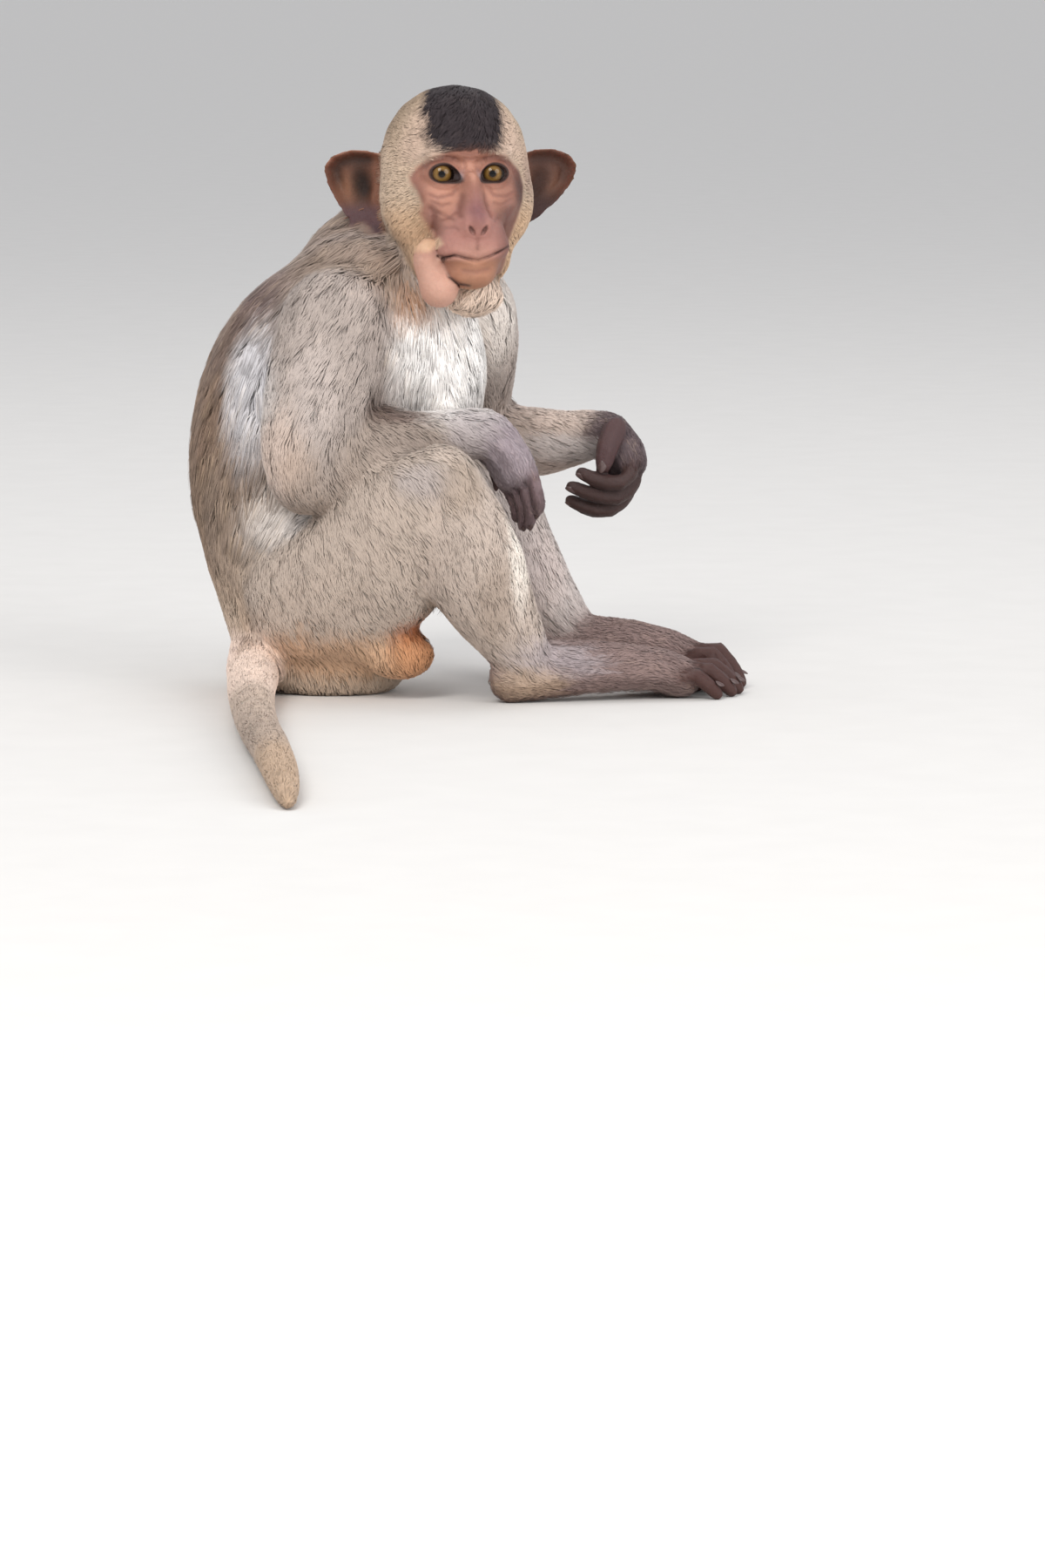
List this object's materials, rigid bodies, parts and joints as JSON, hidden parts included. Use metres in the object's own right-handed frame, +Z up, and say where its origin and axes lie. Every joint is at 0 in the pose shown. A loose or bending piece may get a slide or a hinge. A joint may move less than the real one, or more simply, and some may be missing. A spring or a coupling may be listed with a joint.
{
  "type": "monkey",
  "caption": "Life-size young long-tailed macaque sitting with knees drawn up, forearms across the knees, one cheek pouch full and tail laid along the floor.",
  "frame": {"origin": "on the floor, on the flat under the rump, inside the seat mount", "axes": "+Z up; +X the side the knees and feet point to; +Y away from the side the face and the tail point to, along the model's longest side"},
  "size_m": [0.2942, 0.5639, 0.316],
  "materials": {
    "coat_grey": "grizzled grey-brown hair, lying flat along the body",
    "coat_tan": "short warm tan hair with a dark crown patch",
    "coat_pale": "soft near-white hair on the chest",
    "skin_face": "bare pinkish-brown skin, slightly moist, finely creased",
    "skin_dark": "bare mauve-brown skin under very short hair",
    "eye": "wet, clear over a golden olive iris with a dark rim"
  },
  "bodies": {
    "root": {"head": "coat_tan", "lower_jaw": "skin_face", "cheek_pouch": "skin_face", "ear_left": "skin_dark", "ear_right": "skin_dark", "eye_left": "eye", "eye_right": "eye", "neck": "coat_grey", "chest": "coat_pale", "loin": "coat_grey", "rump": "coat_grey", "thigh_right": "coat_tan", "shank_right": "coat_tan", "foot_right": "skin_dark", "upper_arm_right": "coat_grey", "forearm_right": "coat_grey", "hand_right": "skin_dark", "thumb_right": "skin_dark", "index_right": "skin_dark", "middle_right": "skin_dark", "ring_right": "skin_dark", "little_right": "skin_dark", "hallux_right": "skin_dark", "toe_2_right": "skin_dark", "toe_3_right": "skin_dark", "toe_4_right": "skin_dark", "toe_5_right": "skin_dark", "thigh_left": "coat_tan", "shank_left": "coat_tan", "foot_left": "skin_dark", "upper_arm_left": "coat_grey", "forearm_left": "coat_grey", "hand_left": "skin_dark", "thumb_left": "skin_dark", "index_left": "skin_dark", "middle_left": "skin_dark", "ring_left": "skin_dark", "little_left": "skin_dark", "hallux_left": "skin_dark", "toe_2_left": "skin_dark", "toe_3_left": "skin_dark", "toe_4_left": "skin_dark", "toe_5_left": "skin_dark", "tail_1": "coat_grey", "tail_2": "coat_grey", "tail_3": "coat_grey", "tail_4": "coat_grey", "tail_5": "coat_grey"}
  },
  "joints": []
}
